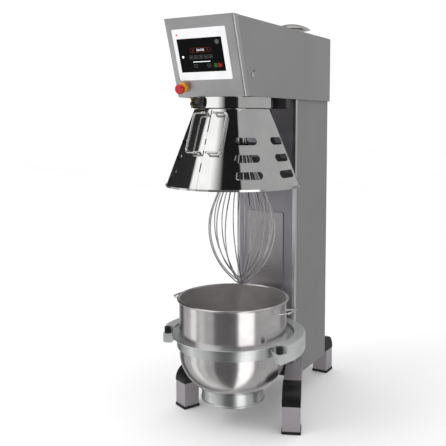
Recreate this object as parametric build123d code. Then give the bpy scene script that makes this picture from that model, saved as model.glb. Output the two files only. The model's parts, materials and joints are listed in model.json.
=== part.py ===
"""Floor-standing planetary mixer with a powered bowl lift, a swing guard and a whisk.

The model is laid out from the bowl's axis: x = 0 and y = 0 there, the column stands
towards +Y, the user stands towards -Y, and the floor is z = 0.  On export everything is
moved along Y so that the origin is the middle of the footprint.  Millimetres throughout.
"""

from build123d import *
import math
import os

# ------------------------------------------------------------------ fits and clearances
running_gap = 0.05        # radial, shaft in a bearing or bush
moving_gap = 0.3          # between surfaces of pieces that move past each other
seat_gap = 0.5            # loose seat between sheet parts
sheet = 2.5               # folded sheet of the casing and the column

# ------------------------------------------------------------------ column
column_width = 302.0
column_gap = 36.0         # bowl flange to the column's front face
column_depth = 362.0
column_bottom_z = 120.0
column_flange = 31.0
front_panel_sheet = 2.0
trim_width = 16.0
trim_sheet = 1.5
ribbed_cover_top_z = 329.0
rib_count = 12
rib_depth = 7.0
rear_cover_margin = 12.0
rear_cover_bottom_z = 205.0

# ------------------------------------------------------------------ legs
leg_tube = 76.0
leg_wall = 3.0
leg_top_z = 191.0
leg_corner_radius = 70.0
front_foot_x = 265.6
front_foot_reach = 263.0  # foot ahead of the column's front face
front_leg_splay = 23.5    # degrees from the Y axis
front_leg_length = 400.0
rear_foot_x = 98.0
rear_foot_reach = 96.0    # foot behind the column's back face
rear_leg_length = 326.0
bumper_wall = 1.5
bumper_bottom_z = 119.0
bumper_reach = 74.0
rubber_foot_lip = 3.0     # beyond the leg on each side
rubber_foot_height = 12.0
rubber_foot_floor = 4.0
base_plate_thickness = 8.0

# ------------------------------------------------------------------ head
head_width = 322.0
head_bottom_z = 1401.0
head_height = 302.0
head_front_y = -168.0     # front face at the bottom edge
head_lean = 94.0          # how far the front face comes forward at the top
head_overhang = 7.0       # behind the column
head_corner = 6.0
fascia_depth = 30.0
fascia_corner = 10.0
head_plate_thickness = 12.0
head_plate_recess = 2.0   # the plate sits this far above the casing's lower edge

# ------------------------------------------------------------------ vent on the roof
vent_setback = 109.0      # from the back of the head
vent_neck_radius = 58.0
vent_neck_height = 44.0
vent_cap_radius = 92.0
vent_cap_rim_rise = 41.0  # rim above the roof
vent_cap_rise = 27.0      # dome above its rim
vent_cap_sheet = 2.0

# ------------------------------------------------------------------ controls on the fascia
bezel_width = 246.0
bezel_height = 203.0
bezel_x = -7.0
bezel_up = 170.5          # centre, measured up the sloping face
bezel_proud = 5.0
bezel_corner = 6.0
display_width = 205.0
display_height = 132.0
display_x = -10.0
display_up = 168.0
display_glass_thickness = 3.0
panel_tub_depth = 38.0
panel_tub_inset = 12.0
estop_x = -124.0
estop_up = 40.0
estop_collar_radius = 21.0
estop_collar_height = 14.0
estop_button_radius = 20.0
estop_button_height = 15.0
estop_travel = 5.0        # push of the mushroom
estop_stem_radius = 8.0
estop_spare = 2.0         # gap left under the mushroom when it is pushed in
side_lock_y = -117.0
side_lock_z = 1484.0
side_lock_radius = 7.0
side_lock_head = 9.0

# ------------------------------------------------------------------ drive
shaft_radius = 20.0
bearing_outer = 40.0
bearing_width = 18.0
hub_radius = 56.0
hub_height = 85.0
main_pulley_radius = 120.0
motor_pulley_radius = 40.0
pulley_width = 32.0
pulley_gap = 8.0          # between the hub and the pulley
belt_thickness = 5.0
belt_width = 26.0
motor_setback = 202.0     # behind the column's front face
motor_radius = 95.0
motor_length = 220.0
motor_shaft_radius = 14.0
motor_plate_thickness = 10.0
motor_post_radius = 9.0

# ------------------------------------------------------------------ planetary gear
gear_module = 3.0
ring_teeth = 70
planet_teeth = 20
gear_width = 30.0
gear_backlash = 0.35
pressure_angle = math.radians(20.0)
ring_gear_rim = 10.0      # outside the tooth pitch circle
planet_shaft_radius = 15.0
planet_bearing_outer = 31.0
planet_bearing_width = 16.0
carrier_radius = 125.0
carrier_height = 63.0
carrier_side_gap = 6.0
carrier_top_gap = 5.0     # below the ring gear
ring_gear_drop = 5.0      # ring gear below the head plate

# ------------------------------------------------------------------ guard
guard_bottom_radius = 282.0
guard_bottom_z = 1034.0
guard_top_z = 1354.0
guard_slope = 0.3827      # radius lost for each millimetre of height
guard_sheet = 2.0
guard_hem = 2.0
guard_hem_height = 8.0
guard_door_arc = 118.0    # degrees from the front seam
guard_rear_start = 112.0  # degrees from the front seam
guard_seam_gap = 0.6
guard_flange_inner = 141.0
guard_flange_sheet = 2.5
track_radius = 152.0
track_thickness = 4.0
track_wall = 4.0
collar_radius = 165.0
collar_sheet = 2.0
collar_lift = 3.0         # lower edge above the doors' top
rear_shell_gap = 1.2      # between the doors and the rear shell
vent_slot_height = 30.0
vent_slot_arc = 25.5      # degrees
vent_slot_pitch = 45.0    # degrees
vent_slot_rows = (1225.0, 1158.0, 1093.0)
seam_slot_width = 5.0
seam_slots = ((1262.0, 1348.0), (1212.0, 1235.0), (1167.0, 1189.0), (1107.0, 1140.0))
handle_rod = 10.0
handle_foot_x = 20.0
handle_bar_x = 78.0
handle_standoff = 24.0
handle_top_z = 1338.0
handle_bottom_z = 1183.0
handle_bend = 14.0
switch_width = 66.0
switch_depth = 40.0
switch_height = 42.0
switch_x = 125.0
switch_y = 205.0

# ------------------------------------------------------------------ whisk
whisk_loops = 8
wire_diameter = 5.4
wire_stack_gap = 0.25
whisk_wire_root_radius = 24.0
whisk_wire_root_z = 1195.0
whisk_shoulder_radius = 197.5
whisk_shoulder_z = 762.0
whisk_point_z = 580.0
whisk_belly_fillet = 289.0
whisk_tip_fillet = 45.0
whisk_hub_radius = 36.0
whisk_hub_height = 26.0
socket_radius = 23.0
socket_top_z = 1286.0
bayonet_pin_radius = 5.0
bayonet_pin_z = 1240.0
bayonet_twist = 20.0      # degrees
bayonet_play = 0.2

# ------------------------------------------------------------------ bowl
bowl_radius = 231.0
bowl_sheet = 2.5
bowl_rim_z = 555.0
bowl_bead = 5.0
bowl_rim_lip = 9.0        # beyond the bowl's wall
bowl_knuckle_z = 318.0
bowl_knuckle_radius = 170.0
flange_radius = 262.0
flange_top_z = 400.0
flange_thickness = 6.0
band_reach = 11.0         # beyond the bowl's wall
band_wall = 4.0
band_bottom_z = 348.0
base_ring_inset = 95.0    # inside the bowl's wall
base_ring_wall = 3.0
base_ring_bottom_z = 112.0
base_ring_hem = 3.0
hand_slot_start = 96.0    # degrees from the front
hand_slot_end = 134.0
hand_slot_width = 14.0
bowl_handle_rod = 8.0
bowl_handle_z = 528.0
bowl_handle_reach = 56.0
bowl_handle_half = 48.0
bowl_handle_bend = 12.0

# ------------------------------------------------------------------ yoke and bowl lift
yoke_clearance = 2.0
yoke_width = 48.0
yoke_top_z = 407.0
yoke_height = 72.0
yoke_end = 69.0           # degrees from the front
yoke_ledge = 18.0
yoke_ledge_height = 13.0
yoke_back_gap = 10.0      # to the column's front face
yoke_corner = 7.0
knob_radius = 14.0
knob_height = 29.0
knob_inset = 11.0         # from the yoke's inner edge
knob_y = -100.0
knob_stud_radius = 5.0
knob_notch = 40.0
lift_stroke = 430.0
apron_width = 185.0
apron_sheet = 3.0
apron_standoff = 8.0      # ahead of the column's front face
apron_top_z = 889.0
neck_width = 84.0
neck_top_z = 430.0
slot_side_gap = 3.0
slot_end_gap = 6.0
carriage_side_gap = 20.5  # to the column's sides
carriage_setback = 20.0
carriage_depth = 47.0
carriage_top_z = 600.0
guide_rod_radius = 15.0
guide_rod_inset = 30.0    # from the carriage's side
carriage_arm_gap = 23.0   # actuator arm to the guide rods
bush_wall = 6.0
bush_length = 50.0
guide_top_z = 1250.0
guide_bracket_height = 15.0
actuator_setback = 108.0
actuator_radius = 35.0
actuator_top_z = 690.0
actuator_wall = 8.0
actuator_gland = 30.0
actuator_rod_radius = 18.0
actuator_arm_z = 700.0
actuator_arm_thickness = 20.0

# ------------------------------------------------------------------ electrics
inverter_width = 220.0
inverter_depth = 260.0
inverter_height = 95.0
inverter_front_y = 90.0
gland_inset = 61.0        # from the column's side
gland_z = 300.0
gland_radius = 14.0
gland_bore = 6.5
gland_length = 30.0

# ------------------------------------------------------------------ worked-out places
column_half = column_width / 2
column_front_y = flange_radius + column_gap
column_back_y = column_front_y + column_depth
panel_front_y = column_front_y - front_panel_sheet
front_foot_y = column_front_y - front_foot_reach
rear_foot_y = column_back_y + rear_foot_reach
rubber_foot_width = leg_tube + 2 * rubber_foot_lip
head_back_y = column_back_y + head_overhang
vent_y = head_back_y - vent_setback
motor_y = column_front_y + motor_setback
head_half = head_width / 2
head_top_z = head_bottom_z + head_height
face_angle = math.atan2(head_lean, head_height)
plate_z = head_bottom_z + head_plate_recess
plate_top_z = plate_z + head_plate_thickness
hub_top_z = plate_top_z + hub_height
pulley_z = hub_top_z + pulley_gap
pulley_top_z = pulley_z + pulley_width
belt_z = pulley_z + (pulley_width - belt_width) / 2
motor_plate_z = hub_top_z - motor_plate_thickness
ring_pitch = gear_module * ring_teeth / 2
planet_pitch = gear_module * planet_teeth / 2
planet_offset = ring_pitch - planet_pitch
gear_z = plate_z - gear_width - ring_gear_drop
carrier_top_z = gear_z - carrier_top_gap
carrier_bottom_z = carrier_top_z - carrier_height
track_top_z = guard_top_z - guard_flange_sheet - moving_gap
front_reach = guard_bottom_radius + guard_hem
rear_reach = rear_foot_y + rubber_foot_width / 2
datum_shift = (front_reach - rear_reach) / 2
yoke_inner = flange_radius + yoke_clearance
yoke_outer = yoke_inner + yoke_width
yoke_bottom_z = yoke_top_z - yoke_height
yoke_back_y = column_front_y - yoke_back_gap
knob_x = yoke_inner + knob_inset
apron_front_y = column_front_y - apron_standoff
carriage_half = column_half - sheet - carriage_side_gap
carriage_front_y = column_front_y + carriage_setback
guide_rod_x = carriage_half - guide_rod_inset
actuator_y = column_front_y + actuator_setback
gland_x = gland_inset - column_half
seat_z = flange_top_z - flange_thickness
bowl_rim_radius = bowl_radius + bowl_rim_lip
base_ring_radius = bowl_radius - base_ring_inset
band_radius = bowl_radius + band_reach

fascia_frame = Plane(
    origin=(0, head_front_y, head_bottom_z),
    x_dir=(1, 0, 0),
    z_dir=(0, -math.cos(face_angle), -math.sin(face_angle)),
)


# ------------------------------------------------------------------ building helpers
def block(x0, x1, y0, y1, z0, z1):
    """A box given by its limits on each axis."""
    centre = Pos((x0 + x1) / 2, (y0 + y1) / 2, (z0 + z1) / 2)
    return centre * Box(x1 - x0, y1 - y0, z1 - z0)


def post(radius, z0, z1, x=0.0, y=0.0):
    """An upright cylinder."""
    return Pos(x, y, (z0 + z1) / 2) * Cylinder(radius, z1 - z0)


def ring(outer, inner, z0, z1, x=0.0, y=0.0):
    """An upright tube."""
    return post(outer, z0, z1, x, y) - post(inner, z0 - 1, z1 + 1, x, y)


def outline(points):
    """A closed face in the XZ plane from (radius, height) points."""
    return Plane.XZ * Polygon(*points, align=None)


def turned(points, start=0.0, end=360.0):
    """Points turned about the bowl axis between two angles counted from the front."""
    body = revolve(outline(points), axis=Axis.Z, revolution_arc=end - start)
    return Rot(0, 0, start - 90) * body


def side_prism(points, half_width):
    """A (y, z) outline carried across the machine's width."""
    return extrude(Plane.YZ * Polygon(*points, align=None), amount=half_width, both=True)


def on_fascia(x, up, out, shape):
    """A shape whose own Z axis stands out of the sloping front face."""
    return fascia_frame.location * Pos(x, up, out) * shape


def rod(points, diameter, bend):
    """A round bar bent along straight runs."""
    path = FilletPolyline(*points, radius=bend)
    section = Plane(origin=path @ 0, z_dir=path % 0) * Circle(diameter / 2)
    return sweep(section, path=path)


def mirrored(shape):
    """The same piece on the other side of the machine."""
    return mirror(shape, about=Plane.YZ)


def group(*solids):
    """Separate solids that share one node."""
    parts = []
    for item in solids:
        parts.extend(item.solids())
    return Compound(children=parts)


# ------------------------------------------------------------------ legs and base
def leg_profile(growth, length, bottom):
    """The L outline of one leg in its own YZ plane, rounded at the outer corner."""
    half = leg_tube / 2 + growth
    low = leg_top_z - leg_tube - growth
    high = leg_top_z + growth
    points = [
        (-half, bottom), (half, bottom), (half, low),
        (length, low), (length, high), (-half, high),
    ]
    body = side_prism(points, half)
    corner = body.edges().filter_by(Axis.X).group_by(Axis.Y)[0].sort_by(Axis.Z)[-1]
    return fillet(corner, leg_corner_radius + growth)


def leg(length):
    outer = leg_profile(0, length, rubber_foot_floor)
    inner = leg_profile(-leg_wall, length + 1, rubber_foot_floor - 1)
    return outer - inner


def bumper():
    """Moulded cover over the leg's outer corner."""
    cover = leg_profile(bumper_wall, bumper_reach, bumper_bottom_z)
    low = leg_top_z - leg_tube
    half = leg_tube / 2 + bumper_wall + 1
    cover -= block(-half, half, leg_tube / 2, bumper_reach + 1, low - 2 * leg_tube, bumper_bottom_z)
    return cover - leg_profile(0.1, bumper_reach + 1, 0)


def rubber_foot():
    half = rubber_foot_width / 2
    pad = block(-half, half, -half, half, 0, rubber_foot_height)
    pad = fillet(pad.edges().filter_by(Axis.Z), 5)
    pocket = leg_tube / 2 + 0.1
    return pad - block(-pocket, pocket, -pocket, pocket, rubber_foot_floor, rubber_foot_height + 1)


def front_places():
    """The two splayed front legs."""
    return [
        Pos(side * front_foot_x, front_foot_y, 0) * Rot(0, 0, side * front_leg_splay)
        for side in (1, -1)
    ]


def rear_places():
    """The two straight rear legs."""
    return [Pos(side * rear_foot_x, rear_foot_y, 0) * Rot(0, 0, 180) for side in (1, -1)]


def leg_openings():
    """The space that the legs take where they run into the column."""
    front = leg_profile(seat_gap, front_leg_length + seat_gap, rubber_foot_floor)
    rear = leg_profile(seat_gap, rear_leg_length + seat_gap, rubber_foot_floor)
    spaces = [place * front for place in front_places()]
    spaces += [place * rear for place in rear_places()]
    return spaces[0] + spaces[1:]


def base_plate():
    half = column_half - sheet - seat_gap
    front = column_front_y + sheet + seat_gap
    back = column_back_y - sheet - seat_gap
    return block(-half, half, front, back, leg_top_z, leg_top_z + base_plate_thickness)


# ------------------------------------------------------------------ column
def column_sides(legs):
    """The column's two folded side panels, with flanges front and back."""
    outer = block(-column_half, column_half, column_front_y, column_back_y,
                  column_bottom_z, plate_z)
    inside = column_half - sheet
    shell = outer - block(-inside, inside, column_front_y + sheet, column_back_y - sheet,
                          column_bottom_z - 1, plate_z + 1)
    mouth = column_half - column_flange
    shell -= block(-mouth, mouth, column_front_y - 1, column_back_y + 1,
                   column_bottom_z - 1, plate_z + 1)
    return shell - legs


def trim_strip(legs):
    """Bright angle strip over one front corner of the column."""
    x1 = column_half + trim_sheet
    y0 = column_front_y - trim_sheet
    strip = block(x1 - trim_width, x1, y0, y0 + trim_width, column_bottom_z, head_bottom_z - 1)
    edge = strip.edges().filter_by(Axis.Z).sort_by(Axis.X)[-2:].sort_by(Axis.Y)[0]
    strip = fillet(edge, trim_sheet)
    strip -= block(x1 - trim_width - 1, column_half, column_front_y, y0 + trim_width + 1,
                   column_bottom_z - 1, head_bottom_z)
    return strip - legs


def front_panel():
    half = column_half + trim_sheet - trim_width - seat_gap
    panel = block(-half, half, panel_front_y, column_front_y, ribbed_cover_top_z + 1, head_bottom_z)
    slot = neck_width / 2 + slot_side_gap
    low = yoke_bottom_z - 1
    high = neck_top_z + lift_stroke + slot_end_gap
    return panel - block(-slot, slot, panel_front_y - 1, column_front_y + 1, low, high)


def ribbed_cover(legs):
    """Dark moulded cover with level ribs, under the lift's slot."""
    half = column_half + trim_sheet - trim_width - seat_gap
    pitch = (ribbed_cover_top_z - column_bottom_z) / rib_count
    points = [(column_front_y, column_bottom_z)]
    for index in range(rib_count):
        low = column_bottom_z + index * pitch
        points.append((column_front_y - 2, low))
        points.append((column_front_y - 2 - rib_depth, low + pitch * 0.35))
        points.append((column_front_y - 2 - rib_depth, low + pitch * 0.65))
    points.append((column_front_y - 2, ribbed_cover_top_z))
    points.append((column_front_y, ribbed_cover_top_z))
    return side_prism(points, half) - legs


def rear_cover():
    half = column_half - rear_cover_margin
    cover = block(-half, half, column_back_y, column_back_y + front_panel_sheet,
                  rear_cover_bottom_z, head_bottom_z - 4)
    return cover - Pos(gland_x, column_back_y, gland_z) * Rot(90, 0, 0) * Cylinder(gland_radius, 20)


def cable_gland():
    """Empty inlet for a supply cable, screwed into the rear cover."""
    nut = extrude(RegularPolygon(gland_radius + 4, 6), amount=8)
    base = (Align.CENTER, Align.CENTER, Align.MIN)
    body = Pos(0, 0, -6) * Cylinder(gland_radius, 12 + gland_length, align=base)
    gland = nut + body - Cylinder(gland_bore, 200)
    return Pos(gland_x, column_back_y + front_panel_sheet, gland_z) * Rot(-90, 0, 0) * gland


# ------------------------------------------------------------------ head
def head_side(front_shift):
    """The head seen from its side, with the front face moved back."""
    return [
        (head_front_y + front_shift, head_bottom_z),
        (head_front_y - head_lean + front_shift, head_top_z),
        (head_back_y, head_top_z),
        (head_back_y, head_bottom_z),
    ]


def head_casing():
    body = side_prism(head_side(fascia_depth), head_half)
    rounded = body.edges().filter_by(Axis.Y).group_by(Axis.Z)[-1]
    rounded += body.edges().filter_by(Axis.Z).group_by(Axis.Y)[-1]
    body = fillet(rounded, head_corner)
    inside = head_half - sheet
    far_front = head_front_y - head_lean - 50
    body -= block(-inside, inside, far_front, head_back_y - sheet,
                  head_bottom_z - 1, head_top_z - sheet)
    body -= post(vent_neck_radius - vent_cap_sheet, head_top_z - 10, head_top_z + 1, 0, vent_y)
    lock_hole = Pos(head_half, side_lock_y, side_lock_z) * Rot(0, 90, 0)
    return body - lock_hole * Cylinder(side_lock_radius + running_gap, 20)


def fascia():
    """Front cover: a shallow tray with rounded side edges."""
    lean = math.cos(face_angle)
    points = [
        (head_front_y, head_bottom_z),
        (head_front_y - head_lean, head_top_z),
        (head_front_y - head_lean + fascia_depth - seat_gap, head_top_z),
        (head_front_y + fascia_depth - seat_gap, head_bottom_z),
    ]
    tray = side_prism(points, head_half)
    tray = fillet(front_pair(tray), fascia_corner)
    wall = sheet / lean
    hollow_points = [
        (head_front_y + wall + math.tan(face_angle) * -sheet, head_bottom_z + sheet),
        (head_front_y - head_lean + wall + math.tan(face_angle) * sheet, head_top_z - sheet),
        (head_front_y - head_lean + fascia_depth + 10, head_top_z - sheet),
        (head_front_y + fascia_depth + 10, head_bottom_z + sheet),
    ]
    hollow = side_prism(hollow_points, head_half - sheet)
    hollow = fillet(front_pair(hollow), fascia_corner - sheet)
    tray -= hollow
    tub_x = bezel_width - 2 * panel_tub_inset + 2 * seat_gap
    tub_y = bezel_height - 2 * panel_tub_inset + 2 * seat_gap
    tray -= on_fascia(bezel_x, bezel_up, 0, Box(tub_x, tub_y, 30))
    return tray - on_fascia(estop_x, estop_up, 0, Cylinder(estop_stem_radius + 3, 30))


def front_pair(body):
    """The two long edges at the front of a leaning prism."""
    leaning = [
        edge for edge in body.edges()
        if abs((edge % 0.5).X) < 0.1 and abs((edge % 0.5).Z) > 0.5
    ]
    leaning.sort(key=lambda edge: (edge @ 0.5).Y)
    return leaning[:2]


def vent_neck():
    tube = ring(vent_neck_radius, vent_neck_radius - vent_cap_sheet,
                head_top_z, head_top_z + vent_neck_height, 0, vent_y)
    foot = ring(vent_neck_radius + 14, vent_neck_radius - vent_cap_sheet,
                head_top_z, head_top_z + 2, 0, vent_y)
    return tube + foot


def vent_cap():
    """Domed lid over the neck, open all round beneath its rim."""
    rise = vent_cap_rise
    sphere = (vent_cap_radius ** 2 + rise ** 2) / (2 * rise)
    rim_z = head_top_z + vent_cap_rim_rise
    centre_z = rim_z + rise - sphere
    dome = Pos(0, vent_y, centre_z) * Sphere(sphere)
    dome -= Pos(0, vent_y, centre_z) * Sphere(sphere - vent_cap_sheet)
    dome &= post(vent_cap_radius, rim_z, rim_z + rise + 1, 0, vent_y)
    under = sphere - vent_cap_sheet
    stand_top = centre_z + math.sqrt(under ** 2 - vent_neck_radius ** 2)
    stands = [
        Pos(0, vent_y, 0) * Rot(0, 0, 45 + 90 * index)
        * block(vent_neck_radius - 12, vent_neck_radius, -3, 3,
                head_top_z + vent_neck_height - 14, stand_top + 1)
        for index in range(4)
    ]
    inner = vent_neck_radius - vent_cap_sheet
    frame = stands[0] + stands[1:]
    frame &= post(inner, head_top_z, stand_top + 1, 0, vent_y)
    return dome + frame


# ------------------------------------------------------------------ controls
def control_bezel():
    frame = extrude(RectangleRounded(bezel_width, bezel_height, bezel_corner), amount=bezel_proud)
    outer = frame.edges().group_by(Axis.Z)[-1]
    frame = chamfer(outer, 1.5)
    tub_x = bezel_width - 2 * panel_tub_inset
    tub_y = bezel_height - 2 * panel_tub_inset
    frame += Pos(0, 0, -panel_tub_depth / 2) * Box(tub_x, tub_y, panel_tub_depth)
    window = Pos(display_x - bezel_x, display_up - bezel_up, bezel_proud)
    frame -= window * Box(display_width, display_height, 2 * display_glass_thickness)
    return on_fascia(bezel_x, bezel_up, 0, frame)


def display_glass():
    low = bezel_proud - display_glass_thickness
    glass = extrude(Rectangle(display_width - 0.2, display_height - 0.2), amount=display_glass_thickness)
    return on_fascia(display_x, display_up, low, glass)


def estop_collar():
    collar = Cylinder(estop_collar_radius, estop_collar_height,
                      align=(Align.CENTER, Align.CENTER, Align.MIN))
    collar = fillet(collar.edges().group_by(Axis.Z)[-1], 3)
    collar -= Cylinder(estop_stem_radius + running_gap, 80)
    return on_fascia(estop_x, estop_up, 0, collar)


def estop_button():
    low = estop_collar_height + estop_travel + estop_spare
    base = (Align.CENTER, Align.CENTER, Align.MIN)
    cap = Pos(0, 0, low) * Cylinder(estop_button_radius, estop_button_height, align=base)
    cap = fillet(cap.edges().group_by(Axis.Z)[-1], 6)
    cap = fillet(cap.edges().group_by(Axis.Z)[0], 2)
    stem = Pos(0, 0, -22) * Cylinder(estop_stem_radius, low + 22, align=base)
    return on_fascia(estop_x, estop_up, 0, cap + stem)


def side_lock():
    """Quarter-turn lock with a cam tongue inside the casing."""
    base = (Align.CENTER, Align.CENTER, Align.MIN)
    barrel = Pos(0, 0, -sheet - 18) * Cylinder(side_lock_radius, sheet + 18, align=base)
    head = Pos(0, 0, moving_gap) * Cylinder(side_lock_head, 3.5, align=base)
    head = chamfer(head.edges().group_by(Axis.Z)[-1], 0.8)
    neck = Cylinder(side_lock_radius, 1, align=base)
    tongue = Pos(0, 12, -sheet - 15) * Box(12, 36, 3)
    lock = barrel + neck + head + tongue
    lock -= Pos(0, 0, 4) * Box(2.5, 12, 4)
    return Pos(head_half, side_lock_y, side_lock_z) * Rot(0, 90, 0) * lock


# ------------------------------------------------------------------ drive train
def head_plate():
    """Cast plate that carries the motor, the main bearings and the column's top."""
    half = head_half - sheet - seat_gap
    front = head_front_y + fascia_depth + 8
    plate = block(-half, half, front, head_back_y - sheet - seat_gap, plate_z, plate_top_z)
    plate += post(hub_radius, plate_top_z, hub_top_z)
    plate += post(hub_radius + 26, plate_top_z, plate_top_z + 12)
    rib = block(hub_radius - 4, hub_radius + 24, -5, 5, plate_top_z, plate_top_z + 50)
    ribs = [Rot(0, 0, 45 + 90 * index) * rib for index in range(4)]
    plate += ribs
    plate -= post(bearing_outer - 4, plate_z - 1, hub_top_z + 1)
    plate -= post(bearing_outer, plate_z - 1, plate_z + bearing_width + 4)
    plate -= post(bearing_outer, hub_top_z - bearing_width - 4, hub_top_z + 1)
    return plate - post(motor_radius + 8, plate_z - 1, plate_top_z + 1, 0, motor_y)


def bearing(outer, inner, width, z0, x=0.0, y=0.0):
    """Ball bearing drawn as its two races and the closed ball space between them."""
    mid = (outer + inner) / 2
    body = ring(outer, inner, z0, z0 + width, x, y)
    groove = ring(mid + 4, mid - 4, z0 + width - 1.5, z0 + width + 1, x, y)
    return body - groove


def main_bearings():
    inner = shaft_radius + running_gap
    low = bearing(bearing_outer, inner, bearing_width, plate_z + 4)
    high = bearing(bearing_outer, inner, bearing_width, hub_top_z - bearing_width - 4)
    return group(low, high)


def main_shaft():
    low = carrier_bottom_z + 6
    shaft = post(shaft_radius, low, pulley_top_z + 12)
    return shaft


def pulley(radius, bore, x=0.0, y=0.0):
    """Ribbed-belt pulley with side flanges."""
    rim = post(radius, pulley_z, pulley_top_z, x, y)
    lip = radius + belt_thickness + 1
    rim += post(lip, pulley_z, belt_z - moving_gap, x, y)
    rim += post(lip, belt_z + belt_width + moving_gap, pulley_top_z, x, y)
    return rim - post(bore, pulley_z - 1, pulley_top_z + 1, x, y)


def main_pulley():
    wheel = pulley(main_pulley_radius, shaft_radius)
    for index in range(5):
        place = Rot(0, 0, 72 * index) * Pos(main_pulley_radius * 0.58, 0, 0)
        wheel -= place * post(24, pulley_z - 1, pulley_top_z + 1)
    return wheel


def belt_outline(clearance):
    """The stadium round both pulleys, grown by a clearance."""
    big = main_pulley_radius + clearance
    small = motor_pulley_radius + clearance
    tilt = math.asin((big - small) / motor_y)
    run = [
        (big * math.cos(tilt), big * math.sin(tilt)),
        (small * math.cos(tilt), motor_y + small * math.sin(tilt)),
        (-small * math.cos(tilt), motor_y + small * math.sin(tilt)),
        (-big * math.cos(tilt), big * math.sin(tilt)),
    ]
    return Circle(big) + Pos(0, motor_y) * Circle(small) + Polygon(*run, align=None)


def drive_belt():
    loop = belt_outline(moving_gap + belt_thickness) - belt_outline(moving_gap)
    return Pos(0, 0, belt_z) * extrude(loop, amount=belt_width)


def motor_bracket():
    """Raised plate on four posts that the motor hangs from."""
    reach = motor_radius + 24
    x_limit = head_half - sheet - 6
    plate = block(-x_limit, x_limit, motor_y - reach, motor_y + reach, motor_plate_z, hub_top_z)
    plate -= post(motor_shaft_radius + 16, motor_plate_z - 1, hub_top_z + 1, 0, motor_y)
    for sx in (-1, 1):
        for sy in (-1, 1):
            plate += post(motor_post_radius, plate_top_z, motor_plate_z,
                          sx * (x_limit - 14), motor_y + sy * (reach - 14))
    return plate


def motor_housing():
    low = motor_plate_z - motor_length
    body = post(motor_radius - 8, low, motor_plate_z, 0, motor_y)
    fins = [
        Pos(0, motor_y, 0) * Rot(0, 0, 15 * index)
        * block(motor_radius - 12, motor_radius, -2, 2, low + 40, motor_plate_z - 12)
        for index in range(24)
    ]
    body += fins
    body += post(motor_radius, low, low + 36, 0, motor_y)
    body += post(motor_radius, motor_plate_z - 10, motor_plate_z, 0, motor_y)
    return body - post(motor_shaft_radius + running_gap, motor_plate_z - 60, motor_plate_z + 1, 0, motor_y)


def motor_shaft():
    return post(motor_shaft_radius, motor_plate_z - 58, pulley_top_z + 4, 0, motor_y)


def involute(angle):
    return math.tan(angle) - angle


def tooth_points(teeth, root, tip, slack, first_angle):
    """Outline of a spur gear: slack widens (+) or thins (-) each tooth at the pitch circle."""
    pitch = gear_module * teeth / 2
    base = pitch * math.cos(pressure_angle)
    half_pitch = math.pi / (2 * teeth) + slack / (2 * pitch)
    steps = 5
    flank = []
    for step in range(steps + 1):
        radius = max(root, base) + (tip - max(root, base)) * step / steps
        local = math.acos(min(1.0, base / radius))
        flank.append((radius, half_pitch + involute(pressure_angle) - involute(local)))
    if root < base:
        flank.insert(0, (root, flank[0][1]))
    points = []
    for tooth in range(teeth):
        middle = first_angle + 2 * math.pi * tooth / teeth
        for radius, half in flank:
            points.append((radius * math.cos(middle - half), radius * math.sin(middle - half)))
        for radius, half in reversed(flank):
            points.append((radius * math.cos(middle + half), radius * math.sin(middle + half)))
    return points


def ring_gear():
    """Internal gear with a tooth space facing +Y, where the planet meshes at rest."""
    tip = ring_pitch - gear_module
    root = ring_pitch + 1.25 * gear_module
    space = tooth_points(ring_teeth, tip, root, gear_backlash / 2, math.pi / 2)
    blank = Circle(ring_pitch + ring_gear_rim) - Polygon(*space, align=None)
    return Pos(0, 0, gear_z) * extrude(blank, amount=gear_width)


def planet_pinion():
    """Planet gear with a tooth facing +Y at rest."""
    root = planet_pitch - 1.25 * gear_module
    tip = planet_pitch + gear_module
    teeth = tooth_points(planet_teeth, root, tip, -gear_backlash / 2, math.pi / 2)
    blank = Polygon(*teeth, align=None) - Circle(planet_shaft_radius)
    return Pos(0, planet_offset, gear_z + 2) * extrude(blank, amount=gear_width - 4)


def gear_housing():
    """Cast ring under the head plate: holds the ring gear and carries the guard's track."""
    seat = ring_pitch + ring_gear_rim
    wall = carrier_radius + carrier_side_gap
    low = track_top_z - track_thickness
    points = [
        (seat, plate_z), (wall + track_wall, plate_z), (wall + track_wall, track_top_z),
        (track_radius, track_top_z), (track_radius, low), (wall, low),
        (wall, gear_z - 2), (seat, gear_z - 2),
    ]
    return turned(points)


def planet_carrier():
    """Rotating drum: keyed to the main shaft, it carries the planet shaft off-centre."""
    drum = post(carrier_radius, carrier_bottom_z, carrier_top_z)
    drum = fillet(drum.edges().group_by(Axis.Z)[0], 12)
    drum += post(planet_bearing_outer + 9, carrier_bottom_z - 8, carrier_bottom_z + 5, 0, planet_offset)
    drum -= post(shaft_radius, carrier_bottom_z + 6, carrier_top_z + 1)
    drum -= post(planet_bearing_outer, carrier_bottom_z - 9, carrier_top_z + 1, 0, planet_offset)
    for angle in (150, 210):
        place = Rot(0, 0, angle + 90) * Pos(carrier_radius * 0.6, 0, 0)
        drum -= place * post(24, carrier_top_z - 40, carrier_top_z + 1)
    return drum


def planet_bearings():
    inner = planet_shaft_radius + running_gap
    low = carrier_bottom_z - 4
    high = carrier_top_z - planet_bearing_width - 3
    return group(
        bearing(planet_bearing_outer, inner, planet_bearing_width, low, 0, planet_offset),
        bearing(planet_bearing_outer, inner, planet_bearing_width, high, 0, planet_offset),
    )


def planet_shaft():
    """Agitator shaft with a cross pin hole near its lower end."""
    low = whisk_wire_root_z + whisk_hub_height / 2 + 2
    shaft = post(planet_shaft_radius, low, gear_z + gear_width - 1, 0, planet_offset)
    shaft = chamfer(shaft.edges().group_by(Axis.Z)[0], 2)
    return shaft - cross_pin(0)


def cross_pin(growth):
    length = 2 * (socket_radius + 6)
    return (Pos(0, planet_offset, bayonet_pin_z) * Rot(0, 90, 0)
            * Cylinder(bayonet_pin_radius + growth, length))


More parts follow.
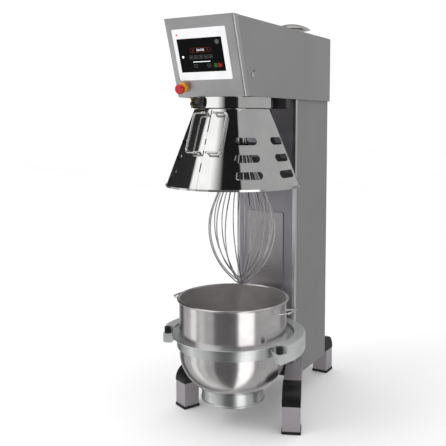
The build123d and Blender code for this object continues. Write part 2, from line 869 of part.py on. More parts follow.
# ------------------------------------------------------------------ whisk
def whisk_hub():
    """Socket with a bayonet slot on each side and the disc that holds the wires."""
    disc_low = whisk_wire_root_z - whisk_hub_height / 2
    disc_high = disc_low + whisk_hub_height
    hub = post(whisk_hub_radius, disc_low, disc_high, 0, planet_offset)
    hub = fillet(hub.edges().group_by(Axis.Z)[-1], 8)
    hub += post(socket_radius, disc_high - 10, socket_top_z, 0, planet_offset)
    bore = planet_shaft_radius + running_gap
    hub -= post(bore, disc_high, socket_top_z + 1, 0, planet_offset)
    half = bayonet_pin_radius + bayonet_play
    reach = socket_radius + 2
    at_axis = Pos(0, planet_offset, 0)
    steps = 5
    for step in range(steps + 1):
        turn = Rot(0, 0, -bayonet_twist * step / steps)
        hub -= at_axis * turn * block(-reach, reach, -half, half, bayonet_pin_z - half, bayonet_pin_z + half)
    exit_turn = Rot(0, 0, -bayonet_twist)
    return hub - at_axis * exit_turn * block(-reach, reach, -half, half, bayonet_pin_z, socket_top_z + 1)


def wire_loop(index):
    """One closed-end wire: down one side, round the tip and up the other side."""
    raised = index * (wire_diameter + wire_stack_gap)
    right = Vector(whisk_shoulder_radius, 0, whisk_shoulder_z)
    left = Vector(-whisk_shoulder_radius, 0, whisk_shoulder_z)
    points = [
        (whisk_wire_root_radius, 0, whisk_wire_root_z), right,
        (0, 0, whisk_point_z + raised), left,
        (-whisk_wire_root_radius, 0, whisk_wire_root_z),
    ]
    radii = [whisk_belly_fillet, whisk_tip_fillet, whisk_belly_fillet]
    return rod(points, wire_diameter, radii)


def whisk_wires():
    order = [(3 * index) % whisk_loops for index in range(whisk_loops)]
    wires = []
    for index, place in enumerate(order):
        turn = 180.0 * place / whisk_loops + 24
        wires.append(Pos(0, planet_offset, 0) * Rot(0, 0, turn) * wire_loop(index))
    return group(*wires)


# ------------------------------------------------------------------ guard
def cone_radius(z):
    return guard_bottom_radius - guard_slope * (z - guard_bottom_z)


def cone_points(inset, low, top, flange_inner, hem):
    """Cross-section of a guard shell: hem, cone and the flange it hangs by."""
    hem_top = low + guard_hem_height
    under = top - guard_flange_sheet
    edge = [(cone_radius(low) - inset, low)]
    if hem > 0:
        edge = [
            (cone_radius(low) - inset + hem, low),
            (cone_radius(low) - inset + hem, hem_top),
            (cone_radius(hem_top) - inset, hem_top),
        ]
    return edge + [
        (cone_radius(top) - inset, top),
        (flange_inner, top),
        (flange_inner, under),
        (cone_radius(under) - inset - guard_sheet, under),
        (cone_radius(low) - inset - guard_sheet, low),
    ]


def radial_slot(angle, z, width, height):
    """A rounded slot cut straight through the guard, facing away from the axis."""
    sketch = Plane.YZ * SlotOverall(width, height)
    return Rot(0, 0, angle - 90) * Pos(cone_radius(z), 0, z) * extrude(sketch, amount=30, both=True)


def vent_slots(first, last):
    """The rows of slots whose whole width lies between two angles."""
    cutters = []
    count = int(360 / vent_slot_pitch)
    for index in range(1, count):
        angle = vent_slot_pitch * index
        if angle - vent_slot_arc / 2 < first or angle + vent_slot_arc / 2 > last:
            continue
        for z in vent_slot_rows:
            width = 2 * cone_radius(z) * math.sin(math.radians(vent_slot_arc / 2))
            cutters.append(radial_slot(angle, z, width, vent_slot_height))
    return cutters


def guard_door():
    """The right-hand door."""
    start = math.degrees(guard_seam_gap / 2 / cone_radius(guard_top_z))
    door = turned(cone_points(0, guard_bottom_z, guard_top_z, guard_flange_inner, guard_hem),
                  start, guard_door_arc)
    for cutter in vent_slots(0, guard_door_arc):
        door -= cutter
    half = seam_slot_width / 2
    for low, high in seam_slots:
        door -= block(-half, half, -guard_bottom_radius - 10, 0, low, high)
    return door - block(-1, guard_seam_gap / 2, -guard_bottom_radius - 10, 0, 0, head_bottom_z)


def guard_rear_shell():
    inset = guard_sheet + rear_shell_gap
    top = track_top_z - track_thickness
    shell = turned(cone_points(inset, guard_bottom_z + 2, top, guard_flange_inner, 0),
                   guard_rear_start, 360 - guard_rear_start)
    for cutter in vent_slots(guard_rear_start, 360 - guard_rear_start):
        shell -= cutter
    return shell


def surface_y(x, z, standoff):
    """The y of a point in front of the cone, at this x and height."""
    return -math.sqrt(cone_radius(z) ** 2 - x ** 2) - standoff


def guard_handle():
    """Bent bar on the right-hand door, standing beside its two feet."""
    sunk = -guard_sheet / 2
    top = handle_top_z
    low = handle_bottom_z
    points = [
        (handle_foot_x, surface_y(handle_foot_x, top, sunk), top),
        (handle_foot_x + 4, surface_y(handle_foot_x, top, handle_standoff), top),
        (handle_bar_x, surface_y(handle_bar_x, top, handle_standoff), top),
        (handle_bar_x, surface_y(handle_bar_x, low, handle_standoff), low),
        (handle_foot_x + 4, surface_y(handle_foot_x, low, handle_standoff), low),
        (handle_foot_x, surface_y(handle_foot_x, low, sunk), low),
    ]
    bar = rod(points, handle_rod, [8, handle_bend, handle_bend, 8])
    inside = turned([
        (0, guard_bottom_z), (cone_radius(guard_bottom_z), guard_bottom_z),
        (cone_radius(head_bottom_z), head_bottom_z), (0, head_bottom_z),
    ])
    return bar - inside


def guard_collar():
    """Bright ring between the head and the guard."""
    inner = carrier_radius + carrier_side_gap + track_wall
    top = head_bottom_z - seat_gap
    low = guard_top_z + collar_lift
    points = [
        (inner, top), (collar_radius, top), (collar_radius, low),
        (collar_radius - collar_sheet, low),
        (collar_radius - collar_sheet, top - collar_sheet), (inner, top - collar_sheet),
    ]
    return turned(points)


def guard_switch():
    """Safety switch box behind the guard, with its thin mounting plate."""
    hx = switch_width / 2
    hy = switch_depth / 2
    box = block(switch_x - hx, switch_x + hx, switch_y - hy, switch_y + hy,
                plate_z - switch_height, plate_z)
    box = fillet(box.edges().filter_by(Axis.Z), 3)
    plate = block(switch_x - hx - 8, switch_x + hx + 4, switch_y - hy + 4, switch_y + hy,
                  plate_z - switch_height - 3, plate_z - switch_height)
    return box + plate


# ------------------------------------------------------------------ bowl
def bowl_wall(inset):
    """Half outline of the bowl's outside, moved in by an inset."""
    radius = bowl_radius - inset
    knuckle = bowl_knuckle_radius - inset
    turn_r = bowl_radius - bowl_knuckle_radius
    low = bowl_knuckle_z - knuckle
    middle = knuckle * math.sqrt(0.5)
    top = bowl_rim_z - bowl_bead
    line = Polyline((0, top), (radius, top), (radius, bowl_knuckle_z))
    arc = ThreePointArc((radius, bowl_knuckle_z),
                        (turn_r + middle, bowl_knuckle_z - middle), (turn_r, low))
    floor = Polyline((turn_r, low), (0, low), (0, top))
    return Plane.XZ * make_face(line + arc + floor)


def bowl_solid(inset):
    return revolve(bowl_wall(inset), axis=Axis.Z)


def bowl_shell():
    shell = bowl_solid(0) - bowl_solid(bowl_sheet)
    shell -= post(bowl_radius - bowl_sheet, bowl_rim_z - 20, bowl_rim_z + 1)
    bead = Plane.XZ * Pos(bowl_rim_radius - bowl_bead, bowl_rim_z - bowl_bead) * Circle(bowl_bead)
    shell += revolve(bead, axis=Axis.Z)
    return shell


def bowl_flange():
    low = flange_top_z - flange_thickness
    points = [
        (bowl_radius, flange_top_z), (flange_radius, flange_top_z), (flange_radius, low),
        (band_radius, low), (band_radius, band_bottom_z), (band_radius - band_wall, band_bottom_z),
        (band_radius - band_wall, low), (bowl_radius, low),
    ]
    flange = turned(points)
    flange = fillet(flange.edges().group_by(Axis.Z)[-1].sort_by(SortBy.LENGTH)[-1], 2)
    middle = (band_radius + flange_radius) / 2
    for start in (hand_slot_start, 360 - hand_slot_end):
        end = start + hand_slot_end - hand_slot_start
        flange -= turned([
            (middle - hand_slot_width / 2, low - 1), (middle + hand_slot_width / 2, low - 1),
            (middle + hand_slot_width / 2, flange_top_z + 1),
            (middle - hand_slot_width / 2, flange_top_z + 1),
        ], start, end)
    return flange


def bowl_base_ring():
    points = [
        (base_ring_radius - base_ring_wall, base_ring_bottom_z),
        (base_ring_radius + base_ring_hem, base_ring_bottom_z),
        (base_ring_radius + base_ring_hem, base_ring_bottom_z + 4),
        (base_ring_radius, base_ring_bottom_z + 7),
        (base_ring_radius, bowl_knuckle_z - bowl_knuckle_radius + 40),
        (base_ring_radius - base_ring_wall, bowl_knuckle_z - bowl_knuckle_radius + 40),
    ]
    return turned(points) - bowl_solid(0)


def bowl_handle():
    """Round-bar lifting handle on the bowl's right side."""
    root = math.sqrt(bowl_radius ** 2 - bowl_handle_half ** 2)
    reach = bowl_radius + bowl_handle_reach
    points = [
        (root - 1, -bowl_handle_half, bowl_handle_z - 14),
        (reach, -bowl_handle_half + 12, bowl_handle_z),
        (reach, bowl_handle_half - 12, bowl_handle_z),
        (root - 1, bowl_handle_half, bowl_handle_z - 14),
    ]
    return rod(points, bowl_handle_rod, bowl_handle_bend) - bowl_solid(0)


# ------------------------------------------------------------------ yoke and lift
def bowl_yoke():
    """Cast horseshoe: a ledge inside it carries the bowl's flange."""
    ledge_inner = yoke_inner - yoke_ledge
    points = [
        (yoke_inner, yoke_top_z), (yoke_outer, yoke_top_z), (yoke_outer, yoke_bottom_z),
        (yoke_inner + 10, yoke_bottom_z), (ledge_inner, seat_z - yoke_ledge_height),
        (ledge_inner, seat_z), (yoke_inner, seat_z),
    ]
    arm = turned(points, yoke_end, 360 - yoke_end)
    top_edge = arm.edges().filter_by(GeomType.CIRCLE).filter_by(
        lambda e: abs(e.radius - yoke_outer) < 0.01)
    arm = fillet(top_edge, yoke_corner)
    arm -= block(-yoke_outer, yoke_outer, yoke_back_y, yoke_outer + 1, yoke_bottom_z - 1, yoke_top_z + 1)
    floor_z = yoke_top_z - knob_height
    notch_y = knob_y + knob_radius + 6
    for side in (-1, 1):
        x = side * knob_x
        arm -= block(x - knob_notch, x + knob_notch, -yoke_outer, notch_y, floor_z, yoke_top_z + 1)
        arm -= post(knob_stud_radius + running_gap, floor_z - 30, floor_z + 1, x, knob_y)
    return arm


def lock_knob(side):
    """Clamp knob on its stud, at the end of a yoke arm."""
    floor_z = yoke_top_z - knob_height
    low = floor_z + moving_gap
    x = side * knob_x
    knob = post(knob_radius, low, low + knob_height - 1, x, knob_y)
    knob = fillet(knob.edges().group_by(Axis.Z)[-1], 3)
    for index in range(8):
        flute = Pos(x, knob_y, 0) * Rot(0, 0, 45 * index) * Pos(knob_radius + 2, 0, 0)
        knob -= flute * post(3, low + 3, low + knob_height)
    return knob + post(knob_stud_radius, floor_z - 24, low + 4, x, knob_y)


def lift_carriage():
    half = carriage_half
    back = carriage_front_y + carriage_depth
    low = yoke_bottom_z + 3
    body = block(-half, half, carriage_front_y, back, low, carriage_top_z)
    neck = neck_width / 2
    body += block(-neck, neck, yoke_back_y, carriage_front_y + 1, low, yoke_top_z - 3)
    body += block(-neck + 4, neck - 4, apron_front_y + apron_sheet, carriage_front_y + 1, low, neck_top_z)
    arm = guide_rod_x - guide_rod_radius - carriage_arm_gap
    body += block(-arm, arm, back - 20, back, carriage_top_z - 1, actuator_arm_z + actuator_arm_thickness)
    body += block(-30, 30, back - 20, actuator_y + 25,
                  actuator_arm_z, actuator_arm_z + actuator_arm_thickness)
    for side in (-1, 1):
        body -= post(guide_rod_radius + bush_wall, low - 1, low + bush_length,
                     side * guide_rod_x, guide_y())
        body -= post(guide_rod_radius + bush_wall, carriage_top_z - bush_length,
                     carriage_top_z + 1, side * guide_rod_x, guide_y())
        body -= post(guide_rod_radius + 3, low - 1, carriage_top_z + 1,
                     side * guide_rod_x, guide_y())
    window = 42
    body -= block(-window, window, carriage_front_y + 12, back + 1, low + 60, carriage_top_z - 60)
    return body


def guide_y():
    return carriage_front_y + carriage_depth / 2


def guide_bushes():
    bushes = []
    low = yoke_bottom_z + 3
    for side in (-1, 1):
        for z0 in (low, carriage_top_z - bush_length):
            bushes.append(ring(guide_rod_radius + bush_wall, guide_rod_radius + running_gap,
                               z0, z0 + bush_length, side * guide_rod_x, guide_y()))
    return group(*bushes)


def guide_rods():
    low = leg_top_z + base_plate_thickness
    return group(*[
        post(guide_rod_radius, low, guide_top_z, side * guide_rod_x, guide_y())
        for side in (-1, 1)
    ])


def guide_bracket():
    half = column_half - sheet
    bar = block(-half, half, guide_y() - 28, guide_y() + 28,
                guide_top_z - guide_bracket_height, guide_top_z + 5)
    for side in (-1, 1):
        bar -= post(guide_rod_radius, guide_top_z - guide_bracket_height - 1, guide_top_z,
                    side * guide_rod_x, guide_y())
    return bar


def apron_plate():
    """Bright plate that rides in front of the lift's slot."""
    half = apron_width / 2
    plate = block(-half, half, apron_front_y, apron_front_y + apron_sheet, yoke_top_z + 1, apron_top_z)
    return fillet(plate.edges().filter_by(Axis.Y).group_by(Axis.Z)[-1], 6)


def actuator_body():
    low = leg_top_z + base_plate_thickness
    body = post(actuator_radius, low, actuator_top_z, 0, actuator_y)
    body -= post(actuator_radius - actuator_wall, low + 10, actuator_top_z - actuator_gland,
                 0, actuator_y)
    return body - post(actuator_rod_radius + running_gap, actuator_top_z - actuator_gland - 1,
                       actuator_top_z + 1, 0, actuator_y)


def actuator_rod():
    low = actuator_top_z - lift_stroke - actuator_gland + 5
    return post(actuator_rod_radius, low, actuator_arm_z, 0, actuator_y)


def inverter_box():
    half = inverter_width / 2
    top = head_top_z - sheet
    low = top - inverter_height
    box = block(-half, half, inverter_front_y, inverter_front_y + inverter_depth, low, top)
    for index in range(9):
        y = inverter_front_y + 20 + index * (inverter_depth - 40) / 8
        box -= block(-half + 15, half - 15, y - 3, y + 3, low - 1, low + 12)
    return box


# ------------------------------------------------------------------ every node
def all_nodes():
    legs = leg_openings()
    nodes = {}
    nodes["front_legs"] = group(*[place * leg(front_leg_length) for place in front_places()])
    nodes["rear_legs"] = group(*[place * leg(rear_leg_length) for place in rear_places()])
    nodes["leg_bumpers"] = group(*[place * bumper() for place in front_places() + rear_places()])
    nodes["rubber_feet"] = group(*[place * rubber_foot() for place in front_places() + rear_places()])
    nodes["base_plate"] = base_plate()
    nodes["column_sides"] = column_sides(legs)
    trim = trim_strip(legs)
    nodes["corner_trims"] = group(trim, mirrored(trim))
    nodes["front_panel"] = front_panel()
    nodes["ribbed_cover"] = ribbed_cover(legs)
    nodes["rear_cover"] = rear_cover()
    nodes["cable_gland"] = cable_gland()
    nodes["head_casing"] = head_casing()
    nodes["fascia"] = fascia()
    nodes["head_plate"] = head_plate()
    nodes["vent_neck"] = vent_neck()
    nodes["vent_cap"] = vent_cap()
    nodes["control_bezel"] = control_bezel()
    nodes["display_glass"] = display_glass()
    nodes["estop_collar"] = estop_collar()
    nodes["estop_button"] = estop_button()
    nodes["side_lock"] = side_lock()
    nodes["main_bearings"] = main_bearings()
    nodes["main_shaft"] = main_shaft()
    nodes["main_pulley"] = main_pulley()
    nodes["drive_belt"] = drive_belt()
    nodes["motor_bracket"] = motor_bracket()
    nodes["motor_housing"] = motor_housing()
    nodes["motor_shaft"] = motor_shaft()
    nodes["motor_pulley"] = pulley(motor_pulley_radius, motor_shaft_radius, 0, motor_y)
    nodes["inverter_box"] = inverter_box()
    nodes["gear_housing"] = gear_housing()
    nodes["ring_gear"] = ring_gear()
    nodes["planet_carrier"] = planet_carrier()
    nodes["planet_bearings"] = planet_bearings()
    nodes["planet_shaft"] = planet_shaft()
    nodes["planet_pinion"] = planet_pinion()
    nodes["bayonet_pin"] = cross_pin(0)
    nodes["whisk_hub"] = whisk_hub()
    nodes["whisk_wires"] = whisk_wires()
    door = guard_door()
    handle = guard_handle()
    nodes["guard_door_right"] = door
    nodes["guard_door_left"] = mirrored(door)
    nodes["guard_handle_right"] = handle
    nodes["guard_handle_left"] = mirrored(handle)
    nodes["guard_rear_shell"] = guard_rear_shell()
    nodes["guard_collar"] = guard_collar()
    nodes["guard_switch"] = guard_switch()
    nodes["bowl_shell"] = bowl_shell()
    nodes["bowl_flange"] = bowl_flange()
    nodes["bowl_base_ring"] = bowl_base_ring()
    side_handle = bowl_handle()
    nodes["bowl_handles"] = group(side_handle, mirrored(side_handle))
    nodes["bowl_yoke"] = bowl_yoke()
    nodes["lock_knob_right"] = lock_knob(1)
    nodes["lock_knob_left"] = lock_knob(-1)
    nodes["lift_carriage"] = lift_carriage()
    nodes["guide_bushes"] = guide_bushes()
    nodes["apron_plate"] = apron_plate()
    nodes["actuator_rod"] = actuator_rod()
    nodes["actuator_body"] = actuator_body()
    nodes["guide_rods"] = guide_rods()
    nodes["guide_bracket"] = guide_bracket()
    return nodes


os.makedirs("parts", exist_ok=True)
for node_name, node in all_nodes().items():
    export_step(Pos(0, datum_shift, 0) * node, f"parts/{node_name}.step")
print("bowl axis y", datum_shift, "planet axis y", datum_shift + planet_offset)
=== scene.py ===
"""Looks of a floor-standing planetary mixer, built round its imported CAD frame."""

import json
import math

import bmesh
import bpy
from mathutils import Matrix, Vector

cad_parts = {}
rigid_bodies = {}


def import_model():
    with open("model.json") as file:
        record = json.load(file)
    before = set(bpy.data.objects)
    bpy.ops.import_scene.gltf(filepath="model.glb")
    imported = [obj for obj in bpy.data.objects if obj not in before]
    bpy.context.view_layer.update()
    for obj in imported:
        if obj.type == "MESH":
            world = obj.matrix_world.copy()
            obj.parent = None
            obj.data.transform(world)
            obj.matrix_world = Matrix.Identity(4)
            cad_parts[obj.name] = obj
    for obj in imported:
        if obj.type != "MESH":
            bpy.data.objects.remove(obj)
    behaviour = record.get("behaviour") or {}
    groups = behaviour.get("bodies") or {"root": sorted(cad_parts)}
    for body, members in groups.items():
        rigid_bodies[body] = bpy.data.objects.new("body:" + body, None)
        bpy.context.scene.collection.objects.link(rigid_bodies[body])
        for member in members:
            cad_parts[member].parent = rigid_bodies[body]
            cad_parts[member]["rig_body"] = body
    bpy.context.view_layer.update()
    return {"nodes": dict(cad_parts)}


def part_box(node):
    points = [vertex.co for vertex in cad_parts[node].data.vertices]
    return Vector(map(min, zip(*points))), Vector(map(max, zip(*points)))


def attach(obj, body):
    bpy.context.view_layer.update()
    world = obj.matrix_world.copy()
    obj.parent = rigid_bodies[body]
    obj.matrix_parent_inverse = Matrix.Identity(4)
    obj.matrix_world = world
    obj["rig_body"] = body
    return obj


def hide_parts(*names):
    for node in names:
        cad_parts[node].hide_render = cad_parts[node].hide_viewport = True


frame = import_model()

MM = 0.001


# ------------------------------------------------------------------ places taken from the frame
def middle(node):
    """Centre of a CAD node's box."""
    low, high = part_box(node)
    return (low + high) / 2


bowl_axis = middle("bowl_shell")
head_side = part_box("head_casing")[1].x
cover_low, cover_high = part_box("rear_cover")

# Height of a point inside the bowl, in metres, from which its outer wall faces away.
bowl_heart = 0.42

# The guard's outer radius at its hem in metres, and how much of it each metre of height takes off.
guard_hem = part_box("guard_door_right")[0].z
guard_foot = 0.282
guard_slope = 0.3827

# The front face leans out by face_run while it climbs by face_rise, both in millimetres.
face_run = 94.0
face_rise = 302.0
face_lean = math.atan2(face_run, face_rise)
face_up = Vector((0, -math.sin(face_lean), math.cos(face_lean)))
face_out = Vector((0, -math.cos(face_lean), -math.sin(face_lean)))
fascia_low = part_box("fascia")[0]
face_foot = Vector((0, fascia_low.y + face_run * MM, fascia_low.z))


def on_face(x, up, out=0.0):
    """A point given in millimetres on the sloping front face."""
    return face_foot + Vector((x * MM, 0, 0)) + face_up * (up * MM) + face_out * (out * MM)


# ------------------------------------------------------------------ node and colour helpers
def colour(code):
    """An sRGB hex colour as linear RGBA."""
    parts = [int(code[index:index + 2], 16) / 255 for index in (1, 3, 5)]
    linear = [part / 12.92 if part <= 0.04045 else ((part + 0.055) / 1.055) ** 2.4 for part in parts]
    return (*linear, 1.0)


def tones(dark_end, dark, light_end, light):
    """Ramp stops from a dark hex tone to a light one."""
    return (dark_end, colour(dark)), (light_end, colour(light))


def give(node, inputs):
    """Sets a node's inputs: an output socket is linked, anything else is a constant."""
    for key, value in inputs.items():
        if isinstance(value, bpy.types.NodeSocket):
            node.id_data.links.new(value, node.inputs[key])
        else:
            node.inputs[key].default_value = value


def add(tree, kind, inputs=None, stops=(), **settings):
    """Adds one node with its settings, the stops of its ramp and its inputs."""
    made = tree.nodes.new(kind)
    for name, value in settings.items():
        setattr(made, name, value)
    for index, (position, tone) in enumerate(stops):
        elements = made.color_ramp.elements
        if index >= 2:
            elements.new(position)
        elements[index].position = position
        elements[index].color = tone
    give(made, inputs or {})
    return made


def new_material(name, roughness, metallic=0.0, **sockets):
    """A material with one Principled shader; constants sit on the shader's own sockets."""
    material = bpy.data.materials.new(name)
    material.use_nodes = True
    tree = material.node_tree
    shader = tree.nodes["Principled BSDF"]
    give(shader, {"Roughness": roughness, "Metallic": metallic})
    give(shader, {key.replace("_", " "): value for key, value in sockets.items()})
    return material, tree, shader


def place(tree, scale=(1, 1, 1), location=(0, 0, 0)):
    """Object coordinates in metres, stretched by a scale per axis and moved."""
    source = add(tree, "ShaderNodeTexCoord")
    return add(tree, "ShaderNodeMapping", {
        "Vector": source.outputs["Object"], "Location": location, "Scale": scale,
    }).outputs["Vector"]


# ------------------------------------------------------------------ finishes
# A noise's Scale is in cycles per metre of its coordinates, and a bump's Distance is in metres.
def powder_coat(name, dark, light, roughness):
    """Satin powder coat on folded steel: even grey with a fine orange-peel relief."""
    material, tree, shader = new_material(name, roughness)
    at = place(tree)
    cloud = add(tree, "ShaderNodeTexNoise", {"Vector": at, "Scale": 3.0, "Detail": 2.0})
    # The peel's waves are about 1 mm apart.
    peel = add(tree, "ShaderNodeTexNoise", {"Vector": at, "Scale": 900.0, "Detail": 2.0})
    tint = add(tree, "ShaderNodeValToRGB", {"Fac": cloud.outputs["Fac"]}, tones(0.3, dark, 0.7, light))
    gloss = add(tree, "ShaderNodeMapRange", {
        "Value": peel.outputs["Fac"], "To Min": roughness - 0.04, "To Max": roughness + 0.05,
    })
    relief = add(tree, "ShaderNodeBump", {
        "Height": peel.outputs["Fac"], "Distance": 0.0003, "Strength": 0.25,
    })
    give(shader, {
        "Base Color": tint.outputs["Color"], "Roughness": gloss.outputs["Result"],
        "Normal": relief.outputs["Normal"],
    })
    return material


def brushed_sheet(name, dark, light, stretch, roughness, anisotropic=0.5, metallic=1.0):
    """Belt-ground stainless sheet: long fine scratches one way, so its sheen spreads across them."""
    material, tree, shader = new_material(name, roughness, metallic, Anisotropic=anisotropic)
    # Scratches 1 to 3 mm apart, coarser than real grinding so that they show.
    grain = add(tree, "ShaderNodeTexNoise", {
        "Vector": place(tree, stretch), "Scale": 1.0, "Detail": 6.0, "Roughness": 0.7,
    })
    patch = add(tree, "ShaderNodeTexNoise", {"Vector": place(tree), "Scale": 4.0, "Detail": 2.0})
    lift = add(tree, "ShaderNodeMapRange", {
        "Value": patch.outputs["Fac"], "To Min": 0.1, "To Max": 0.3,
    })
    mixed = add(tree, "ShaderNodeMath", {
        0: grain.outputs["Fac"], 1: patch.outputs["Fac"], 2: lift.outputs["Result"],
    }, operation="MULTIPLY_ADD")
    tint = add(tree, "ShaderNodeValToRGB", {"Fac": mixed.outputs["Value"]},
               tones(0.3, dark, 0.72, light))
    gloss = add(tree, "ShaderNodeMapRange", {
        "Value": grain.outputs["Fac"], "To Min": roughness - 0.06, "To Max": roughness + 0.1,
    })
    relief = add(tree, "ShaderNodeBump", {
        "Height": grain.outputs["Fac"], "Distance": 0.0002, "Strength": 0.12,
    })
    give(shader, {
        "Base Color": tint.outputs["Color"], "Roughness": gloss.outputs["Result"],
        "Normal": relief.outputs["Normal"],
    })
    return material


def spun_steel(name, dark, light, roughness, anisotropic):
    """Steel spun on a lathe: rings round the axis, and a paler, worn satin inside the bowl."""
    material, tree, shader = new_material(name, roughness, 1.0, Anisotropic=anisotropic)
    at = place(tree, location=(-bowl_axis.x, -bowl_axis.y, 0))
    split = add(tree, "ShaderNodeSeparateXYZ", {"Vector": at})
    climb = add(tree, "ShaderNodeCombineXYZ", {"X": 0.0, "Y": 0.0, "Z": split.outputs["Z"]})
    rings = add(tree, "ShaderNodeTexNoise", {
        "Vector": climb.outputs["Vector"], "Scale": 700.0, "Detail": 4.0, "Roughness": 0.7,
    })
    faint = add(tree, "ShaderNodeTexNoise", {"Vector": at, "Scale": 14.0, "Detail": 2.0})
    tint = add(tree, "ShaderNodeValToRGB", {"Fac": faint.outputs["Fac"]},
               tones(0.25, dark, 0.75, light))
    gloss = add(tree, "ShaderNodeMapRange", {
        "Value": rings.outputs["Fac"], "To Min": roughness - 0.05, "To Max": roughness + 0.08,
    })
    relief = add(tree, "ShaderNodeBump", {
        "Height": rings.outputs["Fac"], "Distance": 0.0001, "Strength": 0.08,
    })
    upright = add(tree, "ShaderNodeCombineXYZ", {"X": 0.0, "Y": 0.0, "Z": 1.0})
    facing = add(tree, "ShaderNodeNewGeometry")
    heart = place(tree, location=(-bowl_axis.x, -bowl_axis.y, -bowl_heart))
    outward = add(tree, "ShaderNodeVectorMath", {0: facing.outputs["Normal"], 1: heart},
                  operation="DOT_PRODUCT")
    outside = add(tree, "ShaderNodeMath", {0: outward.outputs["Value"], 1: 0.0},
                  operation="GREATER_THAN")
    bare = add(tree, "ShaderNodeMapRange", {
        "Value": outside.outputs["Value"], "To Min": 0.83, "To Max": 1.0,
    })
    give(shader, {
        "Base Color": tint.outputs["Color"], "Roughness": gloss.outputs["Result"],
        "Metallic": bare.outputs["Result"], "Tangent": upright.outputs["Vector"],
        "Normal": relief.outputs["Normal"],
    })
    return material


mirror_shine = "#E6E5E4"


def polished_steel(name, tone, roughness):
    """Mirror-polished stainless: sharp reflections, with faint wipe marks in its gloss."""
    material, tree, shader = new_material(name, roughness, 1.0)
    wipe = add(tree, "ShaderNodeTexNoise", {
        "Vector": place(tree), "Scale": 9.0, "Detail": 4.0, "Roughness": 0.6,
    })
    gloss = add(tree, "ShaderNodeMapRange", {
        "Value": wipe.outputs["Fac"], "To Min": roughness * 0.6, "To Max": roughness * 1.6,
    })
    tint = add(tree, "ShaderNodeValToRGB", {"Fac": wipe.outputs["Fac"]},
               tones(0.2, tone, 0.8, mirror_shine))
    give(shader, {"Base Color": tint.outputs["Color"], "Roughness": gloss.outputs["Result"]})
    return material


def guard_sheet(name, tone, painted_shade_tone, roughness):
    """Guard sheet: mirror outside; on the side that faces the tool a duller mill finish, its colour
    darkened as painted shade.
    """
    material, tree, shader = new_material(name, roughness, 1.0)
    at = place(tree, location=(-bowl_axis.x, -bowl_axis.y, -guard_hem))
    split = add(tree, "ShaderNodeSeparateXYZ", {"Vector": at})
    level = add(tree, "ShaderNodeCombineXYZ", {"X": split.outputs["X"], "Y": split.outputs["Y"], "Z": 0.0})
    reach = add(tree, "ShaderNodeVectorMath", {0: level.outputs["Vector"]}, operation="LENGTH")
    cone = add(tree, "ShaderNodeMath", {
        0: split.outputs["Z"], 1: guard_slope, 2: reach.outputs["Value"],
    }, operation="MULTIPLY_ADD")
    # The sheet is thin, so the change from inner to outer side lies within its thickness.
    outside = add(tree, "ShaderNodeMapRange", {
        "Value": cone.outputs["Value"],
        "From Min": guard_foot - 1.2 * MM, "From Max": guard_foot - 0.6 * MM,
    })
    wipe = add(tree, "ShaderNodeTexNoise", {
        "Vector": at, "Scale": 9.0, "Detail": 4.0, "Roughness": 0.6,
    })
    scratch = add(tree, "ShaderNodeTexNoise", {
        "Vector": place(tree, (300, 300, 12)), "Scale": 1.0, "Detail": 4.0,
    })
    dull = add(tree, "ShaderNodeMapRange", {
        "Value": scratch.outputs["Fac"], "To Min": 0.4, "To Max": 0.6,
    })
    shiny = add(tree, "ShaderNodeMapRange", {
        "Value": wipe.outputs["Fac"], "To Min": roughness * 0.6, "To Max": roughness * 1.6,
    })
    gloss = add(tree, "ShaderNodeMix", {
        "Factor": outside.outputs["Result"], "A": dull.outputs["Result"], "B": shiny.outputs["Result"],
    })
    # The inner side's grey is far darker than steel's own tone: painted shade for the hollow of the cone.
    inner = add(tree, "ShaderNodeValToRGB", {"Fac": scratch.outputs["Fac"]},
                tones(0.3, painted_shade_tone, 0.8, "#5C5B5C"))
    outer = add(tree, "ShaderNodeValToRGB", {"Fac": wipe.outputs["Fac"]},
                tones(0.2, tone, 0.8, mirror_shine))
    tint = add(tree, "ShaderNodeMix", {
        "Factor": outside.outputs["Result"], "A": inner.outputs["Color"], "B": outer.outputs["Color"],
    }, data_type="RGBA")
    give(shader, {"Base Color": tint.outputs["Result"], "Roughness": gloss.outputs["Result"]})
    return material


def cast_paint(name, dark, light, roughness, grain_mm, metallic=0.0):
    """Painted casting: the sand's grain shows softly through the coat."""
    material, tree, shader = new_material(name, roughness, metallic)
    at = place(tree)
    grain = add(tree, "ShaderNodeTexNoise", {"Vector": at, "Scale": 1000.0 / grain_mm, "Detail": 3.0})
    cloud = add(tree, "ShaderNodeTexNoise", {"Vector": at, "Scale": 12.0, "Detail": 3.0})
    tint = add(tree, "ShaderNodeValToRGB", {"Fac": cloud.outputs["Fac"]}, tones(0.3, dark, 0.7, light))
    gloss = add(tree, "ShaderNodeMapRange", {
        "Value": grain.outputs["Fac"], "To Min": roughness - 0.06, "To Max": roughness + 0.08,
    })
    relief = add(tree, "ShaderNodeBump", {
        "Height": grain.outputs["Fac"], "Distance": 0.0004, "Strength": 0.35,
    })
    give(shader, {
        "Base Color": tint.outputs["Color"], "Roughness": gloss.outputs["Result"],
        "Normal": relief.outputs["Normal"],
    })
    return material


